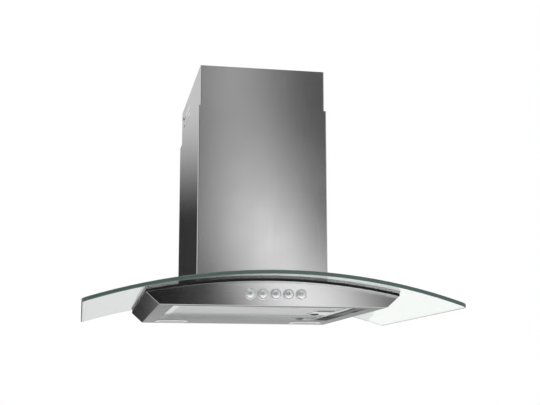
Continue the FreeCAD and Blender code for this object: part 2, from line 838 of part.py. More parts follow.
def motor_bracket():
    x1 = -scroll_half
    x0 = x1 - bracket_thickness
    inner = inlet_dia / 2 + bracket_ring_gap
    ring = rod_x(inner + bracket_ring_width, x0, x1, 0, 0).cut(rod_x(inner, x0 - 1, x1 + 1, 0, 0))
    arms = []
    for i in range(bracket_arms):
        arm = box(x0, x1, 0, inner + 1, -bracket_arm / 2, bracket_arm / 2)
        arm.rotate(V(0, 0, 0), V(1, 0, 0), 90 + i * 360.0 / bracket_arms)
        arms.append(arm)
    bracket = fuse([ring] + arms).cut(rod_x(motor_dia / 2, x0 - 1, x1 + 1, 0, 0))
    bracket.translate(V(0, axle_y, z_axle))
    return bracket


def run_capacitor():
    y0 = box_front_y + sheet
    x = box_half - sheet - capacitor_side_gap - capacitor_dia / 2
    return rod_y(capacitor_dia / 2, y0, y0 + capacitor_length, x, z_end + capacitor_height)


# ---------------------------------------------------------------- outlet collar and flaps

def outlet_collar():
    flange_radius = collar_radius + collar_flange
    flange = rod_z(flange_radius, z_box_top, z_box_top + collar_flange_thickness, 0, collar_y)
    tube = rod_z(collar_radius, z_box_top, z_box_top + collar_height, 0, collar_y)
    bore = rod_z(collar_bore_radius, z_box_top - 1, z_box_top + collar_height + 1, 0, collar_y)
    z_stop = z_pin - flap_thickness / 2 - stop_gap
    stop = rod_z(collar_radius - collar_wall / 2, z_stop - stop_thickness, z_stop, 0, collar_y)
    stop = stop.cut(rod_z(collar_bore_radius - stop_width, z_box_top, z_stop + 1, 0, collar_y))
    gap_half = knuckle_dia / 2 + stop_width
    crossing = box(-collar_radius, collar_radius, collar_y - gap_half, collar_y + gap_half, z_box_top, z_pin)
    stop = stop.cut(crossing)
    pin_hole = rod_x(flap_pin_dia / 2, -collar_radius - 1, collar_radius + 1, collar_y, z_pin)
    return fuse([flange.fuse(tube).cut(bore), stop]).cut(pin_hole)


def damper_pin():
    return rod_x(flap_pin_dia / 2, -collar_radius, collar_radius, collar_y, z_pin)


def damper_flap(side, knuckle_x):
    """Half disc that hangs on the pin: side is -1 for the front half, 1 for the rear half."""
    radius = collar_bore_radius - flap_gap
    low, high = z_pin - flap_thickness / 2, z_pin + flap_thickness / 2
    disc = rod_z(radius, low, high, 0, collar_y)
    near, far = sorted((collar_y + side * flap_split, collar_y + side * (radius + 1)))
    pieces = [disc.common(box(-radius, radius, near, far, low - 1, high + 1))]
    for x in (-knuckle_x, knuckle_x):
        x0, x1 = x - knuckle_length / 2, x + knuckle_length / 2
        pieces.append(rod_x(knuckle_dia / 2, x0, x1, collar_y, z_pin))
        y0, y1 = sorted((collar_y, collar_y + side * (flap_split + 1)))
        pieces.append(box(x0, x1, y0, y1, low, high))
    bore = rod_x(flap_pin_dia / 2 + flap_fit, -collar_radius, collar_radius, collar_y, z_pin)
    return fuse(pieces).cut(bore)


# ---------------------------------------------------------------- electrical box

def junction_faces():
    width, depth, height = junction_size
    z1 = z_box_top - junction_drop
    return junction_x - width / 2, junction_x + width / 2, box_front_y - depth, z1 - height, z1


def junction_box():
    x0, x1, y0, z0, z1 = junction_faces()
    wall = junction_wall
    outer = box(x0, x1, y0, box_front_y, z0, z1)
    inner = box(x0 + wall, x1 - wall, y0 - 1, box_front_y - wall, z0 + wall, z1 - wall)
    gland_y = (y0 + box_front_y) / 2
    return outer.cut(inner).cut(rod_z(gland_dia / 2, z1 - 2 * wall, z1 + 1, junction_x, gland_y))


def junction_cover():
    x0, x1, y0, z0, z1 = junction_faces()
    return box(x0, x1, y0 - junction_wall, y0, z0, z1)


def cable_gland():
    x0, x1, y0, z0, z1 = junction_faces()
    y = (y0 + box_front_y) / 2
    low = z1 - 2 * junction_wall
    body = rod_z(gland_dia / 2, low, low + gland_height, junction_x, y)
    nut = Part.makePolygon([V(junction_x + gland_nut_dia / 2 * math.cos(math.radians(a)),
                              y + gland_nut_dia / 2 * math.sin(math.radians(a)), z1) for a in range(0, 361, 60)])
    nut = Part.Face(nut).extrude(V(0, 0, gland_nut_height))
    return fuse([body, nut]).cut(rod_z(gland_bore / 2, low - 1, low + gland_height + 1, junction_x, y))


# ---------------------------------------------------------------- chimney covers

def channel_cover(half, cover_front_y, cover_back_y, z0, z1):
    """Sheet folded into a channel that is open at the wall."""
    outer = box(-half, half, cover_front_y, cover_back_y, z0, z1)
    outer = outer.makeFillet(chimney_round, upright_edges(outer, lambda x, y: y < cover_front_y + 1))
    inner = box(-half + sheet, half - sheet, cover_front_y + sheet, cover_back_y + 1, z0 - 1, z1 + 1)
    inner = inner.makeFillet(chimney_round - sheet / 2, upright_edges(inner, lambda x, y: y < cover_front_y + 2 * sheet))
    return outer.cut(inner)


def lower_chimney():
    cover = channel_cover(chimney_half, -chimney_depth, 0, z_end, z_chimney)
    below = under_arch(chimney_half + 1, glass_top_radius + chimney_glass_gap, -chimney_depth - 1, 1)
    holes = rod_x(cover_screw_dia / 2, -chimney_half - 1, chimney_half + 1, foot_middle_y(), foot_screw_z())
    return cover.cut(below).cut(holes)


def upper_chimney():
    cover = channel_cover(upper_half, upper_front_y, -upper_wall_gap, z_upper_bottom, z_upper_top)
    slots = []
    for i in range(vent_count):
        z = z_upper_top - vent_top_gap - i * vent_pitch
        slots.append(box(-upper_half - 1, upper_half + 1, -vent_from_wall - vent_length, -vent_from_wall,
                         z - vent_width, z))
    screws = rod_x(cover_screw_dia / 2, -upper_half - 1, upper_half + 1, -ear_screw_from_wall, ear_middle_z())
    return cover.cut(fuse(slots + [screws]))


def foot_middle_y():
    return -foot_wall_gap - foot_depth / 2


def foot_screw_z():
    return z_end + foot_above_glass + foot_height / 2


def chimney_feet():
    """Two angle brackets that hold the lower cover on the blower box."""
    x0, x1 = box_half, chimney_half - sheet
    y0, y1 = foot_middle_y() - foot_depth / 2, foot_middle_y() + foot_depth / 2
    z0 = z_end + foot_above_glass
    z1 = z0 + foot_height
    foot = fuse([box(x0, x0 + foot_thickness, y0, y1, z0, z1), box(x1 - foot_thickness, x1, y0, y1, z0, z1),
                 box(x0, x1, y0, y1, z0, z0 + foot_thickness)])
    foot = foot.cut(rod_x(cover_screw_dia / 2, x0 + 2 * foot_thickness, x1 + 1, foot_middle_y(), foot_screw_z()))
    return both_sides(foot)


def upper_bracket():
    half = upper_half - sheet
    z1 = z_upper_top - ear_top_gap
    z0 = z1 - ear_height
    strap = fuse([box(-half, half, -ear_thickness, 0, z0, z1),
                  box(half - ear_thickness, half, -ear_depth, 0, z0, z1),
                  box(-half, -half + ear_thickness, -ear_depth, 0, z0, z1)])
    wall_holes = [rod_y(ear_hole / 2, -ear_thickness - 1, 1, x, ear_middle_z())
                  for x in (-ear_hole_pitch / 2, ear_hole_pitch / 2)]
    side_holes = rod_x(cover_screw_dia / 2, -half - 1, half + 1, -ear_screw_from_wall, ear_middle_z())
    return strap.cut(fuse(wall_holes + [side_holes]))


def ear_middle_z():
    return z_upper_top - ear_top_gap - ear_height / 2


def side_screw(half, y, z):
    head = rod_x(cover_screw_head / 2, half, half + cover_screw_head_height, y, z)
    rim = [e for e in edges_at(head, lambda p: p.x > half + 1e-3) if e.BoundBox.XLength < 1e-3]
    head = head.makeFillet(cover_screw_head_height / 2, rim)
    shank = rod_x(cover_screw_dia / 2, half - cover_screw_length, half, y, z)
    return fuse([head, shank])


def chimney_screws():
    return both_sides(side_screw(chimney_half, foot_middle_y(), foot_screw_z()))


def bracket_screws():
    return both_sides(side_screw(upper_half, -ear_screw_from_wall, ear_middle_z()))


# ---------------------------------------------------------------- glass fasteners

def glass_top_z():
    return arch_centre_z + glass_top_radius


def glass_washers():
    low = glass_top_z()
    washers = []
    for x, y in glass_screw_places():
        ring = rod_z(washer_dia / 2, low, low + washer_thickness, 0, y)
        sleeve = rod_z(glass_hole / 2, low - glass_thickness, low, 0, y)
        hole = rod_z(glass_screw_dia / 2, low - 2 * glass_thickness, low + glass_thickness, 0, y)
        washers.append(on_arch(fuse([ring, sleeve]).cut(hole), x))
    return washers


def glass_screws():
    low = glass_top_z() + washer_thickness
    screws = []
    for x, y in glass_screw_places():
        head = rod_z(glass_screw_head / 2, low, low + glass_screw_head_height, 0, y)
        shank = rod_z(glass_screw_dia / 2, low - glass_screw_length, low, 0, y)
        screws.append(on_arch(fuse([head, shank]), x))
    return screws


# ---------------------------------------------------------------- files

def save(name, made):
    shape = Part.makeCompound(made) if isinstance(made, list) else made
    shape.exportStep(os.path.join("parts", name + ".step"))


def nodes():
    made = {
        "glass_canopy": glass_canopy(),
        "glass_gasket": glass_gasket(),
        "glass_washers": glass_washers(),
        "glass_screws": glass_screws(),
        "canopy_body": canopy_body(),
        "front_fascia": front_fascia(),
        "filter_tray": filter_tray(),
        "filter_hooks": filter_hooks(),
        "filter_frame": filter_frame(),
        "filter_mesh": filter_mesh(),
        "latch_housing": latch_housing(),
        "filter_latch": filter_latch(),
        "button_bezels": button_bezels(),
        "switch_housing": switch_housing(),
        "switch_board": switch_board(),
        "switch_blocks": switch_blocks(),
        "switch_screws": switch_screws(),
        "lamp_cans": lamp_pair(lamp_can),
        "lamp_bezels": lamp_pair(lamp_bezel),
        "lamp_lenses": lamp_pair(lamp_lens),
        "lamp_boards": lamp_pair(lamp_board),
        "lamp_driver": lamp_driver(),
        "wall_plate": wall_plate(),
        "blower_box": blower_box(),
        "scroll_casing": scroll_casing(),
        "outlet_plate": outlet_plate(),
        "impeller_blades": impeller_blades(),
        "impeller_rings": impeller_rings(),
        "impeller_hub": impeller_hub(),
        "blower_motor": blower_motor(),
        "motor_shaft": motor_shaft(),
        "motor_bracket": motor_bracket(),
        "run_capacitor": run_capacitor(),
        "outlet_collar": outlet_collar(),
        "damper_pin": damper_pin(),
        "front_flap": damper_flap(-1, front_knuckle_x),
        "rear_flap": damper_flap(1, front_knuckle_x - knuckle_step),
        "junction_box": junction_box(),
        "junction_cover": junction_cover(),
        "cable_gland": cable_gland(),
        "lower_chimney": lower_chimney(),
        "chimney_feet": chimney_feet(),
        "chimney_screws": chimney_screws(),
        "upper_chimney": upper_chimney(),
        "upper_bracket": upper_bracket(),
        "bracket_screws": bracket_screws(),
    }
    for i, x in enumerate(button_places()):
        made["push_button_%d" % (i + 1)] = push_button(x)
    return made


os.makedirs("parts", exist_ok=True)
for node_name, node_shape in nodes().items():
    save(node_name, node_shape)
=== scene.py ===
import json
import math

import bpy
from mathutils import Matrix, Vector


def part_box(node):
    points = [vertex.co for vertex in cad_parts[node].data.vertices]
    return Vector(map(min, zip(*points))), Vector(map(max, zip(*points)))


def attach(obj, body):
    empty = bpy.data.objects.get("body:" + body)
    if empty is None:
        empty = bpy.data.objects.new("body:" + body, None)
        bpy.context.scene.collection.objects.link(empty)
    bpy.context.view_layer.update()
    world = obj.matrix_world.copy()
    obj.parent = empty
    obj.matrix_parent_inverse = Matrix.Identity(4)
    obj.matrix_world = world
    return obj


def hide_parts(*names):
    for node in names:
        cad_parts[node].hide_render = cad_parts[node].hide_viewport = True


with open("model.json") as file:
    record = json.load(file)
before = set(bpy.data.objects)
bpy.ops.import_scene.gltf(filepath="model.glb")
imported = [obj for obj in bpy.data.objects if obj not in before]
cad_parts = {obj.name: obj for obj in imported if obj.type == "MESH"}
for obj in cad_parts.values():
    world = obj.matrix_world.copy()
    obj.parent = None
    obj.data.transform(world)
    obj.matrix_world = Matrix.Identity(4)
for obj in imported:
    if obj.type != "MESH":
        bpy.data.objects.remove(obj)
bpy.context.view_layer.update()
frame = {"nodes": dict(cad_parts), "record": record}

# Curved glass range hood. Metres. X to the right, Y into the wall, Z up, origin between the wall screws.

scene = bpy.context.scene
cad = frame["nodes"]
MM = 0.001


# ---------------------------------------------------------------- driving values

CAMERA_PLACE = (-0.29993, -2.00579, -0.30309)
CAMERA_TILT = 9.586              # degrees above level
CAMERA_TURN = -10.514            # degrees, to the right of straight ahead
CAMERA_LENS = 67.761             # for a sensor 36 mm wide
CAMERA_SHIFT = 0.03

GLASS_ENDS = -175 * MM           # underside of the glass at its left and right ends
GLASS_RISE = 46 * MM             # the underside's middle above its ends
GLASS_THICKNESS = 6 * MM
WASHER_THICKNESS = 1 * MM
GLASS_SCREW_X = 100 * MM

# Inside this hollow the latch cup's colour is painted shade.
HOLLOW_MIDDLE = (126 * MM, -250 * MM)    # the finger hollow pressed into the latch's housing
HOLLOW_HALF = (15.2 * MM, 11.2 * MM)
HOLLOW_MOUTH = -166.9 * MM

DIAMOND_LONG = 12 * MM           # an 8 mm diamond in the real mesh, drawn a little coarse so that it shows
DIAMOND_SHORT = 6 * MM
STRAND_WIDTH = 1.1 * MM
STRAND_THICKNESS = 0.12 * MM
LAYER_COUNT = 4

FIGURE_SIZE = 5.2 * MM           # of the printed figures on the caps
FIGURE_DEPTH = 0.12 * MM
FIGURE_SINK = 0.08 * MM          # below the top of the cap's dome

RIB_COUNT = 4                    # finger ribs on the latch
RIB_FIRST = 1.7 * MM
RIB_PITCH = 2.2 * MM
RIB_SIZE = (1.0 * MM, 17 * MM, 1.2 * MM)
RIB_ROUND = 0.4 * MM

FLOOR_Z = -2.6
FLOOR_RADIUS = 12
FLOOR_WHITE = "#F2F2F0"


# ---------------------------------------------------------------- camera

camera = bpy.data.objects.new("camera", bpy.data.cameras.new("camera"))
scene.collection.objects.link(camera)
camera.location = CAMERA_PLACE
camera.rotation_euler = (math.radians(90 + CAMERA_TILT), 0, math.radians(CAMERA_TURN))
camera.data.sensor_width = 36
camera.data.lens = CAMERA_LENS
camera.data.shift_y = CAMERA_SHIFT
scene.camera = camera
scene.view_settings.view_transform = "Standard"


# ---------------------------------------------------------------- making a material

NOISE_MIDDLE = (0.3, 0.7)        # where nearly all values of a noise lie


def srgb(hex_colour):
    """The linear colour of an sRGB hex value."""
    parts = [int(hex_colour[i:i + 2], 16) / 255 for i in (1, 3, 5)]
    return [p / 12.92 if p <= 0.04045 else ((p + 0.055) / 1.055) ** 2.4 for p in parts] + [1.0]


def add_node(tree, kind, inputs=(), **settings):
    """Adds a node; an input takes a plain value, another node's output, or a node for its first output."""
    node = tree.nodes.new(kind)
    for key, value in settings.items():
        setattr(node, key, value)
    for key, value in dict(inputs).items():
        if isinstance(value, bpy.types.Node):
            value = value.outputs[0]
        if isinstance(value, bpy.types.NodeSocket):
            tree.links.new(value, node.inputs[key])
        else:
            node.inputs[key].default_value = value
    return node


def start_material(name, **sockets):
    """A material with one Principled shader; returns it with its tree and shader."""
    material = bpy.data.materials.new(name)
    material.use_nodes = True
    tree = material.node_tree
    tree.nodes.clear()
    shader = add_node(tree, "ShaderNodeBsdfPrincipled", {k.replace("_", " "): v for k, v in sockets.items()})
    add_node(tree, "ShaderNodeOutputMaterial", {"Surface": shader})
    return material, tree, shader


def start_grained(name, grain_mm, detail=3.0, fineness=0.55, **sockets):
    """A started material and its grain: noise whose lumps are about grain_mm long on each axis."""
    material, tree, shader = start_material(name, **sockets)
    coords = add_node(tree, "ShaderNodeTexCoord").outputs["Object"]
    sized = add_node(tree, "ShaderNodeMapping", {"Vector": coords, "Scale": [1 / MM / mm for mm in grain_mm]})
    grain = add_node(tree, "ShaderNodeTexNoise", {"Vector": sized, "Scale": 1.0, "Detail": detail,
                                                  "Roughness": fineness})
    return material, tree, shader, grain


def lay_surface(tree, shader, hue_by, hues, gloss_by=None, roughness=(), height=None, depth_mm=0.0,
                strength=1.0, gloss_range=NOISE_MIDDLE):
    """Colour goes between two hex hues as hue_by goes from 0 to 1, roughness between two values as gloss_by
    crosses gloss_range, and height stands depth_mm high."""
    hue = add_node(tree, "ShaderNodeMix", {0: hue_by, 6: srgb(hues[0]), 7: srgb(hues[1])}, data_type="RGBA")
    tree.links.new(hue.outputs[2], shader.inputs["Base Color"])
    if gloss_by is not None:
        gloss = add_node(tree, "ShaderNodeMapRange", {
            "Value": gloss_by, "From Min": gloss_range[0], "From Max": gloss_range[1],
            "To Min": roughness[0], "To Max": roughness[1]})
        tree.links.new(gloss.outputs[0], shader.inputs["Roughness"])
    if height is not None:
        relief = add_node(tree, "ShaderNodeBump", {"Height": height, "Distance": depth_mm * MM,
                                                   "Strength": strength})
        tree.links.new(relief.outputs[0], shader.inputs["Normal"])


# ---------------------------------------------------------------- finishes

def brushed_stainless(name, grain_mm, hues, roughness, edge_grey):
    """Ferritic stainless sheet, belt brushed: long fine scratches blur reflections into soft bands, and
    edge_grey tints the reflection where the sheet is seen almost edge on; a grey darker than the sheet is
    painted shade there.
    The scratches are really about 0.1 mm apart; they are drawn about 1 mm apart so that they show."""
    material, tree, shader, scratches = start_grained(
        name, grain_mm, 4.0, 0.7, Metallic=1.0, Specular_Tint=srgb(edge_grey))
    coords = add_node(tree, "ShaderNodeTexCoord").outputs["Object"]
    cloud = add_node(tree, "ShaderNodeTexNoise", {"Vector": coords, "Scale": 1 / MM / 90, "Detail": 2.0,
                                                  "Roughness": 0.55})
    shade, fine, broad = (
        add_node(tree, "ShaderNodeMapRange", {"Value": noise, "From Min": NOISE_MIDDLE[0],
                                              "From Max": NOISE_MIDDLE[1], "To Min": low, "To Max": high})
        for noise, low, high in ((scratches, 0, 1), (scratches, roughness - 0.02, roughness + 0.02),
                                 (cloud, -0.01, 0.01)))
    both = add_node(tree, "ShaderNodeMath", {0: fine, 1: broad}, operation="ADD")
    tree.links.new(both.outputs[0], shader.inputs["Roughness"])
    lay_surface(tree, shader, shade, hues, height=scratches, depth_mm=0.004, strength=0.5)
    return material


def float_glass():
    """Toughened soda-lime float glass: clear through its thickness, grey-green on its ground front edge."""
    material, tree, shader, waves = start_grained("float glass, ground edge", (160, 160, 160), 1.0, IOR=1.52)
    facing = add_node(tree, "ShaderNodeTexCoord").outputs["Normal"]
    forward = add_node(tree, "ShaderNodeSeparateXYZ", {0: facing}).outputs["Y"]
    tilt = add_node(tree, "ShaderNodeMath", {0: forward}, operation="ABSOLUTE")
    edge = add_node(tree, "ShaderNodeMapRange", {"Value": tilt, "From Min": 0.35, "From Max": 0.6})
    clear = add_node(tree, "ShaderNodeMapRange", {"Value": edge, "To Min": 1.0, "To Max": 0.3})
    tree.links.new(clear.outputs[0], shader.inputs["Transmission Weight"])
    lay_surface(tree, shader, edge, ("#ECF2F0", "#50645F"), edge, (0.0, 0.3), gloss_range=(0, 1),
                height=waves, depth_mm=0.05, strength=0.3)
    body = add_node(tree, "ShaderNodeVolumeAbsorption", {"Color": srgb("#C6D2CF"), "Density": 8.0})
    tree.links.new(body.outputs[0], tree.nodes["Material Output"].inputs["Volume"])
    return material


def silicone_rubber():
    """Black silicone seal: matt with a faint skin sheen."""
    material, tree, shader, mottle = start_grained("silicone rubber, black", (3, 3, 3), IOR=1.43)
    lay_surface(tree, shader, mottle, ("#08080A", "#141416"), mottle, (0.5, 0.7), mottle, 0.05, 0.4)
    return material


def galvanised_steel():
    """Hot-dip galvanised sheet: frost-like zinc crystals about 11 mm across, each with its own grey."""
    material, tree, shader = start_material("galvanised steel, small spangle", Metallic=1.0)
    coords = add_node(tree, "ShaderNodeTexCoord").outputs["Object"]
    crystals = add_node(tree, "ShaderNodeTexVoronoi", {"Vector": coords, "Scale": 1 / MM / 11})
    shade = add_node(tree, "ShaderNodeSeparateColor", {0: crystals.outputs["Color"]})
    lay_surface(tree, shader, shade, ("#989DA1", "#B7BCBF"), shade, (0.32, 0.5), gloss_range=(0, 1),
                height=crystals.outputs["Distance"], depth_mm=0.03, strength=0.3)
    return material


def bright_zinc():
    """Zinc-plated machined steel: cool, bright, with fine turning marks."""
    material, tree, shader, marks = start_grained("zinc-plated steel, bright", (0.5, 0.5, 0.5), Metallic=1.0)
    lay_surface(tree, shader, marks, ("#B4B7BB", "#D3D6D9"), marks, (0.2, 0.32), marks, 0.01, 0.3)
    return material


def satin_aluminium(name, hues):
    """Rolled aluminium, etched satin: paler and flatter than the steel round it."""
    material, tree, shader, rolled = start_grained(name, (1.2, 30, 1.2), Metallic=1.0)
    lay_surface(tree, shader, rolled, hues, rolled, (0.32, 0.42), rolled, 0.02, 0.4)
    return material


def latch_cup():
    """Pressed satin aluminium with painted shade: the inside of its finger hollow is coloured black and not
    metallic.
    """
    material, tree, shader, rolled = start_grained("aluminium, painted shade in finger hollow", (1.2, 30, 1.2))
    coords = add_node(tree, "ShaderNodeTexCoord").outputs["Object"]
    x, y, z = add_node(tree, "ShaderNodeSeparateXYZ", {0: coords}).outputs
    # The mask marks the inside of the finger hollow, where shade is painted: black and not metallic.
    inside = add_node(tree, "ShaderNodeMath", {0: z, 1: HOLLOW_MOUTH}, operation="GREATER_THAN")
    for value, centre, half in zip((x, y), HOLLOW_MIDDLE, HOLLOW_HALF):
        near = add_node(tree, "ShaderNodeMath", {0: value, 1: centre, 2: half}, operation="COMPARE")
        inside = add_node(tree, "ShaderNodeMath", {0: inside, 1: near}, operation="MULTIPLY")
    unshaded = add_node(tree, "ShaderNodeMath", {0: 1.0, 1: inside}, operation="SUBTRACT")
    tree.links.new(unshaded.outputs[0], shader.inputs["Metallic"])
    # 0C0C0D is painted shade inside the hollow; #D2D4D6 is the aluminium's own colour.
    lay_surface(tree, shader, inside, ("#D2D4D6", "#0C0C0D"), rolled, (0.28, 0.4), rolled, 0.02, 0.4)
    return material


def moulded_plastic(name, hues, roughness, grain_size_mm, grain_depth_mm):
    """Injection-moulded thermoplastic: even colour with the spark-eroded grain of its mould."""
    material, tree, shader, erosion = start_grained(name, (grain_size_mm,) * 3, 4.0, 0.6, IOR=1.5)
    coords = add_node(tree, "ShaderNodeTexCoord").outputs["Object"]
    drift = add_node(tree, "ShaderNodeTexNoise", {"Vector": coords, "Scale": 1 / MM / 40, "Detail": 1.0,
                                                  "Roughness": 0.55})
    lay_surface(tree, shader, drift, hues, erosion, (roughness - 0.06, roughness + 0.06), erosion,
                grain_depth_mm, 0.6)
    return material


def satin_chrome():
    """Chromium plate on a moulded cap under a milky lacquer: a softened mirror, pale all over."""
    material, tree, shader, wear = start_grained("chromium plate, satin", (2.5, 2.5, 2.5), Metallic=0.8)
    lay_surface(tree, shader, wear, ("#E4E6E8", "#F0F1F3"), wear, (0.28, 0.36))
    return material


def glass_epoxy_board():
    """Printed circuit board: green solder mask over woven glass, slightly glossy."""
    material, tree, shader = start_material("glass-epoxy laminate, green mask", IOR=1.55, Roughness=0.32)
    coords = add_node(tree, "ShaderNodeTexCoord").outputs["Object"]
    cloth = add_node(tree, "ShaderNodeTexWave", {"Vector": coords, "Scale": 400.0, "Distortion": 1.0})
    weave = cloth.outputs["Fac"]
    lay_surface(tree, shader, weave, ("#14532B", "#1E6B3A"), height=weave, depth_mm=0.01, strength=0.3)
    return material


def frosted_lens():
    """Frosted polycarbonate: milky, glows softly from whatever lights it."""
    material, tree, shader, frost = start_grained(
        "frosted polycarbonate", (0.8, 0.8, 0.8), IOR=1.58, Transmission_Weight=0.35)
    lay_surface(tree, shader, frost, ("#E6E8E8", "#F4F5F4"), frost, (0.3, 0.4), frost, 0.05, 0.5)
    return material


def baked_enamel():
    """Black stoving enamel on the motor: glossy with a faint orange peel about 2 mm across."""
    material, tree, shader, peel = start_grained(
        "stoving enamel, black", (2, 2, 2), 1.0, IOR=1.5, Coat_Weight=0.3)
    lay_surface(tree, shader, peel, ("#1B1B1D", "#262629"), peel, (0.28, 0.36), peel, 0.04, 0.4)
    return material


SHEET_HUES = ("#CDCDCD", "#D6D6D6")
PANEL_HUES = ("#D0D0D0", "#D8D8D8")
finish = {
    "chimney": brushed_stainless("stainless, brushed upright", (1.0, 1.0, 90), SHEET_HUES, 0.14, "#E6E6E6"),
    # The body's dark edge grey #8C8C8C is painted shade on its sheet where it is seen almost edge on.
    "body": brushed_stainless("stainless, brushed across", (90, 1.0, 1.0), SHEET_HUES, 0.1, "#8C8C8C"),
    "fascia": brushed_stainless("stainless, fine brushed", (120, 0.8, 0.8), PANEL_HUES, 0.1, "#E6E6E6"),
    "glass": float_glass(),
    "seal": silicone_rubber(),
    "galvanised": galvanised_steel(),
    "zinc": bright_zinc(),
    "filter": satin_aluminium("aluminium, etched satin", ("#C6C8CA", "#DADCDD")),
    "latch cup": latch_cup(),
    "lamp metal": satin_aluminium("aluminium, turned satin", ("#C9CBCD", "#DDDEDF")),
    "black plastic": moulded_plastic("ABS, black, fine grain", ("#0E0E10", "#18181A"), 0.45, 0.6, 0.03),
    "white plastic": moulded_plastic("ABS, white, fine grain", ("#DDDDD8", "#EBEBE7"), 0.42, 0.7, 0.03),
    "grey plastic": moulded_plastic("polypropylene, grey", ("#4A4C4F", "#5B5D60"), 0.5, 0.9, 0.04),
    "capacitor": moulded_plastic("polypropylene, white gloss", ("#E4E4DF", "#EEEEEA"), 0.22, 1.5, 0.01),
    "chrome": satin_chrome(),
    "board": glass_epoxy_board(),
    "lens": frosted_lens(),
    "enamel": baked_enamel(),
}

SLOT_FINISH = {
    "float_glass": "glass", "seal_rubber": "seal", "stainless_sheet": "body", "fascia_steel": "fascia",
    "zinc_steel": "galvanised", "screw_steel": "zinc", "filter_aluminium": "filter",
    "black_plastic": "black plastic", "button_chrome": "chrome", "board_laminate": "board",
    "lamp_metal": "lamp metal", "lamp_glass": "lens", "white_plastic": "white plastic",
    "grey_plastic": "grey plastic", "motor_enamel": "enamel", "capacitor_case": "capacitor",
}
NODE_FINISH = {"lower_chimney": "chimney", "upper_chimney": "chimney", "latch_housing": "latch cup"}


def give_finish(thing, material):
    thing.data.materials.clear()
    thing.data.materials.append(material)


for part in frame["record"]["subparts"]:
    chosen = NODE_FINISH.get(part["node"], SLOT_FINISH[part["material_slot"]])
    give_finish(cad[part["node"]], finish[chosen])


# ---------------------------------------------------------------- modelling helpers

def clear_selection():
    if bpy.context.mode != "OBJECT":
        bpy.ops.object.mode_set(mode="OBJECT")
    bpy.ops.object.select_all(action="DESELECT")


def pick_faces(thing, wanted):
    """Leaves thing in edit mode with only the faces selected whose middle and normal satisfy wanted."""
    bpy.ops.object.mode_set(mode="EDIT")
    bpy.ops.mesh.select_mode(type="FACE")
    bpy.ops.mesh.select_all(action="DESELECT")
    bpy.ops.object.mode_set(mode="OBJECT")
    for face in thing.data.polygons:
        face.select = wanted(thing.matrix_world @ face.center, face.normal)
    bpy.ops.object.mode_set(mode="EDIT")


def apply_modifier(thing, kind, **settings):
    clear_selection()
    bpy.context.view_layer.objects.active = thing
    thing.select_set(True)
    modifier = thing.modifiers.new(kind.lower(), kind)
    for key, value in settings.items():
        setattr(modifier, key, value)
    bpy.ops.object.modifier_apply(modifier=modifier.name)


def settle(thing, name, material, smooth_angle=None):
    """Writes an object's place into its mesh, names it and gives it its finish."""
    clear_selection()
    bpy.context.view_layer.objects.active = thing
    thing.select_set(True)
    bpy.ops.object.transform_apply(location=True, rotation=True, scale=True)
    if smooth_angle is not None:
        bpy.ops.object.shade_smooth_by_angle(angle=math.radians(smooth_angle))
    thing.name = name
    thing.data.name = name
    give_finish(thing, material)
    return thing


def join(things):
    clear_selection()
    for thing in things:
        thing.select_set(True)
    bpy.context.view_layer.objects.active = things[0]
    bpy.ops.object.join()
    return things[0]


def copy_at(pattern, place):
    """A copy of a finished pattern, with its own mesh, put where the matrix place takes it."""
    twin = pattern.copy()
    twin.data = pattern.data.copy()
    twin.data.transform(place)
    scene.collection.objects.link(twin)
    return twin


def middle(node):
    low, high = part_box(node)
    return (low + high) / 2


# ---------------------------------------------------------------- grease filter mesh

def near_box(point, low, high, margin_x, margin_y):
    return (low.x - margin_x < point.x < high.x + margin_x) and (low.y - margin_y < point.y < high.y + margin_y)


def select_inner_straight_edges(mesh):
    """Of a poked grid, selects the grid's own lines inside its rim, whose removal leaves diamonds."""
    uses = [0] * len(mesh.edges)
    for loop in mesh.loops:
        uses[loop.edge_index] += 1
    for edge in mesh.edges:
        start, end = (mesh.vertices[i].co for i in edge.vertices)
        straight = min(abs(start.x - end.x), abs(start.y - end.y)) < MM / 1000
        edge.select = straight and uses[edge.index] == 2


def expanded_layer(low, high, z, extra, pocket):
    """One sheet of expanded aluminium: a lattice of diamonds, cut away round the latch housing."""
    clear_selection()
    columns = round((high.x - low.x) / DIAMOND_LONG) + extra
    rows = round((high.y - low.y) / DIAMOND_SHORT) + extra
    bpy.ops.mesh.primitive_grid_add(x_subdivisions=columns, y_subdivisions=rows, size=1,
                                    location=((low.x + high.x) / 2, (low.y + high.y) / 2, z))
    layer = bpy.context.object
    layer.scale = (high.x - low.x, high.y - low.y, 1)
    bpy.ops.object.transform_apply(location=True, rotation=True, scale=True)
    bpy.ops.object.mode_set(mode="EDIT")
    bpy.ops.mesh.select_all(action="SELECT")
    bpy.ops.mesh.poke()
    bpy.ops.mesh.select_mode(type="EDGE")
    bpy.ops.mesh.select_all(action="DESELECT")
    bpy.ops.object.mode_set(mode="OBJECT")
    select_inner_straight_edges(layer.data)
    bpy.ops.object.mode_set(mode="EDIT")
    bpy.ops.mesh.dissolve_edges(use_verts=False)
    for normal in ((1, 0, 0), (0, 1, 0)):
        for corner in pocket:
            pick_faces(layer, lambda p, n: near_box(p, *pocket, DIAMOND_LONG, DIAMOND_SHORT))
            bpy.ops.mesh.bisect(plane_co=corner, plane_no=normal)
    pick_faces(layer, lambda p, n: near_box(p, *pocket, 0, 0))
    bpy.ops.mesh.delete(type="FACE")
    bpy.ops.mesh.select_all(action="SELECT")
    bpy.ops.mesh.inset(thickness=STRAND_WIDTH, use_individual=True, use_boundary=True)
    bpy.ops.mesh.delete(type="FACE")
    bpy.ops.object.mode_set(mode="OBJECT")
    apply_modifier(layer, "SOLIDIFY", thickness=STRAND_THICKNESS, offset=1.0)
    return layer


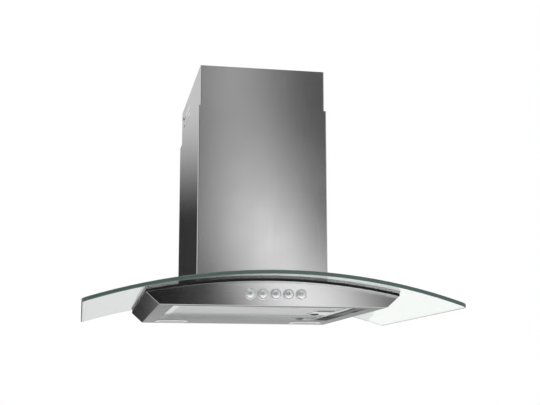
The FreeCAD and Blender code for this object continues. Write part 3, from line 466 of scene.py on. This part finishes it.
def filter_mesh():
    low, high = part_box("filter_mesh")
    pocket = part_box("latch_housing")
    step = (high.z - low.z - STRAND_THICKNESS) / (LAYER_COUNT - 1)
    layers = [expanded_layer(low, high, low.z + i * step, i % 2, pocket) for i in range(LAYER_COUNT)]
    for name, pair in (("mesh_lower_layers", layers[:2]), ("mesh_upper_layers", layers[2:])):
        piece = settle(join(pair), name, finish["filter"])
        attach(piece, "grease_filter")
        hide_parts("filter_mesh")


filter_mesh()


# ---------------------------------------------------------------- cross-head screws

def cross_screw(head_radius, head_height, shank_radius, shank_length):
    """Pan-head screw with a cross recess. The head stands on Z = 0, the shank hangs below."""
    clear_selection()
    bpy.ops.mesh.primitive_cylinder_add(vertices=32, radius=head_radius, depth=head_height,
                                        location=(0, 0, head_height / 2))
    screw = bpy.context.object
    bpy.ops.object.transform_apply(location=True, rotation=True, scale=True)
    pick_faces(screw, lambda p, n: n.z > 0.9)
    bpy.ops.mesh.bevel(offset=head_height * 0.6, segments=5, affect="EDGES")
    pick_faces(screw, lambda p, n: n.z < -0.9)
    bpy.ops.mesh.inset(thickness=head_radius - shank_radius)
    tip_length = shank_length * 0.15
    for length in (shank_length - tip_length, tip_length):
        bpy.ops.mesh.extrude_region_move(TRANSFORM_OT_translate={"value": (0, 0, -length)})
    bpy.ops.transform.resize(value=(0.5, 0.5, 1))
    bpy.ops.object.mode_set(mode="OBJECT")
    arm, slot, depth = head_radius * 0.58, head_radius * 0.2, head_height * 0.55
    for length, width in ((arm, slot), (slot, arm)):
        cut_slot(screw, length, width, depth, head_height)
    return screw


def cut_slot(screw, length, width, depth, top):
    """Cuts one bar of the cross recess, which narrows as it goes down from top."""
    clear_selection()
    bpy.ops.mesh.primitive_cube_add(size=2, location=(0, 0, top))
    bar = bpy.context.object
    bar.scale = (length, width, depth)
    bpy.ops.object.transform_apply(location=True, rotation=True, scale=True)
    pick_faces(bar, lambda p, n: n.z < -0.9)
    bpy.ops.transform.resize(value=(0.7, 0.7, 1))
    bpy.ops.object.mode_set(mode="OBJECT")
    apply_modifier(screw, "BOOLEAN", object=bar, operation="DIFFERENCE", solver="EXACT")
    bpy.data.objects.remove(bar)


def place_screws(name, node, body, pattern, places):
    piece = settle(join([copy_at(pattern, place) for place in places]), name, finish["zinc"], 35)
    bpy.data.objects.remove(pattern)
    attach(piece, body)
    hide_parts(node)


def side_places(node, head_height):
    """Where two screws face outwards, one on each side of a cover, each driven home at its own turn."""
    centre, seat = middle(node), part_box(node)[1].x - head_height
    return [Matrix.Translation((side * seat, centre.y, centre.z)) @ Matrix.Rotation(side * math.pi / 2, 4, "Y")
            @ Matrix.Rotation(math.radians(25 * side), 4, "Z") for side in (-1, 1)]


def arch_places(head_radius):
    """Where four screws stand on the arched glass, on their washers, each driven home at its own turn."""
    half_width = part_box("glass_canopy")[1].x
    arch_radius = (half_width ** 2 + GLASS_RISE ** 2) / (2 * GLASS_RISE)
    arch_centre = GLASS_ENDS + GLASS_RISE - arch_radius
    low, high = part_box("glass_screws")
    places = []
    for x in (-GLASS_SCREW_X, GLASS_SCREW_X):
        for y, turn in ((low.y + head_radius, 20), (high.y - head_radius, 65)):
            lean = Matrix.Translation((0, 0, arch_centre)) @ Matrix.Rotation(math.asin(x / arch_radius), 4, "Y")
            places.append(lean @ Matrix.Translation((0, y, arch_radius + GLASS_THICKNESS + WASHER_THICKNESS))
                          @ Matrix.Rotation(math.radians(turn), 4, "Z"))
    return places


GLASS_SCREW = {"head_radius": 5 * MM, "head_height": 3 * MM,
               "shank_radius": 2.5 * MM, "shank_length": 18 * MM}
COVER_SCREW = {"head_radius": 3.5 * MM, "head_height": 1.8 * MM,
               "shank_radius": 1.9 * MM, "shank_length": 8 * MM}

place_screws("glass_cross_screws", "glass_screws", "hood",
             cross_screw(**GLASS_SCREW), arch_places(GLASS_SCREW["head_radius"]))
for screws_name, screws_node, screws_body in (("cover_cross_screws", "chimney_screws", "hood"),
                                              ("upper_cross_screws", "bracket_screws", "upper_cover")):
    place_screws(screws_name, screws_node, screws_body,
                 cross_screw(**COVER_SCREW), side_places(screws_node, COVER_SCREW["head_height"]))


# ---------------------------------------------------------------- figures on the caps, grip on the latch

def cap_mark(number, text):
    """A small printed figure that lies on a cap's dome."""
    node = "push_button_%d" % number
    clear_selection()
    bpy.ops.object.text_add(location=(0, 0, 0))
    mark = bpy.context.object
    mark.data.body = text
    mark.data.size = FIGURE_SIZE
    mark.data.extrude = FIGURE_DEPTH
    mark.data.align_x = "CENTER"
    mark.data.align_y = "CENTER"
    bpy.ops.object.convert(target="MESH")
    mark = bpy.context.object
    centre = middle(node)
    mark.rotation_euler = (math.pi / 2, 0, 0)
    mark.location = (centre.x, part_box(node)[0].y + FIGURE_SINK, centre.z)
    piece = settle(mark, "cap_mark_%d" % number, finish["black plastic"])
    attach(piece, "button_%d" % number)


for button_number, figure in enumerate("0123", start=1):
    cap_mark(button_number, figure)


def latch_ribs():
    """Rounded ribs across the latch's knob, for a fingertip."""
    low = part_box("filter_latch")[0]
    ribs = []
    for i in range(RIB_COUNT):
        clear_selection()
        bpy.ops.mesh.primitive_cube_add(
            size=1, location=(low.x + RIB_FIRST + i * RIB_PITCH, middle("filter_latch").y, low.z))
        rib = bpy.context.object
        rib.scale = RIB_SIZE
        bpy.ops.object.transform_apply(location=True, rotation=True, scale=True)
        apply_modifier(rib, "BEVEL", width=RIB_ROUND, segments=3)
        ribs.append(rib)
    piece = settle(join(ribs), "latch_grip_ribs", finish["black plastic"], 40)
    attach(piece, "filter_latch")


latch_ribs()


# ---------------------------------------------------------------- studio

# What the strip light in front of the hood does with height. Heights and places are the Z and X of the way
# that a reflection looks. Each row: height from, height to, value there, value there, and how it goes between.
STRIP_BY_HEIGHT = {
    "lean": (0.12, 0.30, 0.195, 0.147, "LINEAR"),
    "foot shift": (0.10, 0.12, 0.022, 0.0, "SMOOTHSTEP"),
    "left edge": (0.10, 0.12, -0.100, -0.085, "SMOOTHSTEP"),
    "right edge": (0.10, 0.12, 0.110, 0.040, "SMOOTHSTEP"),
    "power": (0.11, 0.26, 1.8, 0.6, "SMOOTHSTEP"),
    "foot power": (0.10, 0.12, 0.68, 1.0, "SMOOTHSTEP"),
    "dim wall": (0.10, 0.14, 0.0, 0.08, "SMOOTHSTEP"),
    "ceiling": (0.36, 0.75, 0.0, 0.8, "SMOOTHSTEP"),
}

# Where the dark screen behind the hood ends: from, to, and how much of it is there at each.
SCREEN_RIGHT = (-0.05, 0.05, 1.0, 0.0)
SCREEN_LEFT = (-0.45, -0.30, 0.0, 1.0)
SCREEN_TOP = (0.16, 0.28, 1.0, 0.0)


def soft_box(name, place, target, width, height, power):
    """A rectangular soft light that faces target."""
    lamp = bpy.data.objects.new(name, bpy.data.lights.new(name, "AREA"))
    lamp.data.shape = "RECTANGLE"
    lamp.data.size, lamp.data.size_y = width, height
    lamp.data.energy = power
    scene.collection.objects.link(lamp)
    lamp.location = place
    lamp.rotation_euler = (Vector(target) - Vector(place)).to_track_quat("-Z", "Y").to_euler()
    lamp.visible_camera = False
    lamp.visible_glossy = False
    lamp.visible_transmission = False


def studio_front(tree, x, z):
    """What steel that faces the room sees: a tall strip light that leans left and fades as it rises."""
    at = {name: add_node(tree, "ShaderNodeMapRange", {"Value": z, "From Min": low, "From Max": high,
                                                      "To Min": first, "To Max": last}, interpolation_type=way)
          for name, (low, high, first, last, way) in STRIP_BY_HEIGHT.items()}
    centre = add_node(tree, "ShaderNodeMath", {0: at["lean"], 1: at["foot shift"]}, operation="ADD")
    beside = add_node(tree, "ShaderNodeMath", {0: x, 1: centre}, operation="SUBTRACT")
    left = add_node(tree, "ShaderNodeMapRange", {
        "Value": beside, "From Min": at["left edge"], "From Max": 0.0}, interpolation_type="SMOOTHSTEP")
    right = add_node(tree, "ShaderNodeMapRange", {
        "Value": beside, "From Min": 0.0, "From Max": at["right edge"], "To Min": 1.0, "To Max": 0.0},
        interpolation_type="SMOOTHSTEP")
    light = left
    for factor in (right, at["power"], at["foot power"]):
        light = add_node(tree, "ShaderNodeMath", {0: light, 1: factor}, operation="MULTIPLY")
    for glow in (at["dim wall"], at["ceiling"]):
        light = add_node(tree, "ShaderNodeMath", {0: light, 1: glow}, operation="ADD")
    aside = add_node(tree, "ShaderNodeMath", {0: x}, operation="ABSOLUTE")
    side_walls = add_node(tree, "ShaderNodeMapRange", {
        "Value": aside, "From Min": 0.36, "From Max": 0.65, "To Max": 0.7}, interpolation_type="SMOOTHSTEP")
    return add_node(tree, "ShaderNodeMath", {0: light, 1: side_walls}, operation="MAXIMUM")


def studio_back(tree, x, z):
    """What steel sees past the hood: pale all round, with a dark screen left of the middle."""
    edges = [add_node(tree, "ShaderNodeMapRange", {
                 "Value": value, "From Min": start, "From Max": end, "To Min": first, "To Max": last},
                 interpolation_type="SMOOTHSTEP")
             for value, (start, end, first, last) in ((x, SCREEN_RIGHT), (x, SCREEN_LEFT), (z, SCREEN_TOP))]
    screen = edges[0]
    for edge in edges[1:]:
        screen = add_node(tree, "ShaderNodeMath", {0: screen, 1: edge}, operation="MULTIPLY")
    level = add_node(tree, "ShaderNodeMapRange", {
        "Value": z, "From Min": -0.09, "From Max": -0.075, "To Min": 0.9, "To Max": 0.03},
        interpolation_type="SMOOTHSTEP")
    return add_node(tree, "ShaderNodeMix", {0: screen, 2: 0.8, 3: level}, data_type="FLOAT")


def studio_world():
    """White surround to the eye and through the glass; metal sees a studio of soft greys."""
    world = bpy.data.worlds.new("studio")
    scene.world = world
    world.use_nodes = True
    tree = world.node_tree
    tree.nodes.clear()
    path = add_node(tree, "ShaderNodeLightPath").outputs
    way = add_node(tree, "ShaderNodeTexCoord").outputs["Generated"]
    x, y, z = add_node(tree, "ShaderNodeSeparateXYZ", {0: way}).outputs
    behind = add_node(tree, "ShaderNodeMapRange", {"Value": y, "From Min": -0.15, "From Max": 0.15},
                      interpolation_type="SMOOTHSTEP")
    front, back = studio_front(tree, x, z), studio_back(tree, x, z)
    greys = add_node(tree, "ShaderNodeMix", {0: behind, 2: front, 3: back}, data_type="FLOAT")
    mirrored = add_node(tree, "ShaderNodeMath", {0: path["Glossy Depth"], 1: 1.0}, operation="MINIMUM")
    plain = add_node(tree, "ShaderNodeMix", {0: path["Is Diffuse Ray"], 2: 1.0, 3: 0.55}, data_type="FLOAT")
    colour = add_node(tree, "ShaderNodeMix", {0: mirrored, 2: plain, 3: greys}, data_type="FLOAT")
    shine = add_node(tree, "ShaderNodeBackground", {"Color": colour})
    add_node(tree, "ShaderNodeOutputWorld", {"Surface": shine})


def studio_floor():
    """A matt white floor far below, that glows to everything but the light it throws back."""
    clear_selection()
    bpy.ops.mesh.primitive_circle_add(vertices=96, radius=FLOOR_RADIUS, fill_type="NGON",
                                      location=(0, 0, FLOOR_Z))
    floor = bpy.context.object
    floor.name = "floor"
    material, tree, shader = start_material(
        "floor, white matt", Roughness=0.9, Base_Color=srgb(FLOOR_WHITE), Emission_Color=srgb(FLOOR_WHITE))
    path = add_node(tree, "ShaderNodeLightPath").outputs
    glow = add_node(tree, "ShaderNodeMix", {0: path["Is Diffuse Ray"], 2: 0.45, 3: 0.0}, data_type="FLOAT")
    tree.links.new(glow.outputs[0], shader.inputs["Emission Strength"])
    give_finish(floor, material)


soft_box("front soft box", (0.42, -2.15, 0.3), (0.05, -0.35, -0.1), 0.8, 0.8, 18)
soft_box("overhead soft box", (-0.3, -0.9, 2.2), (0, -0.3, 0), 2.0, 1.6, 12)
studio_world()
studio_floor()
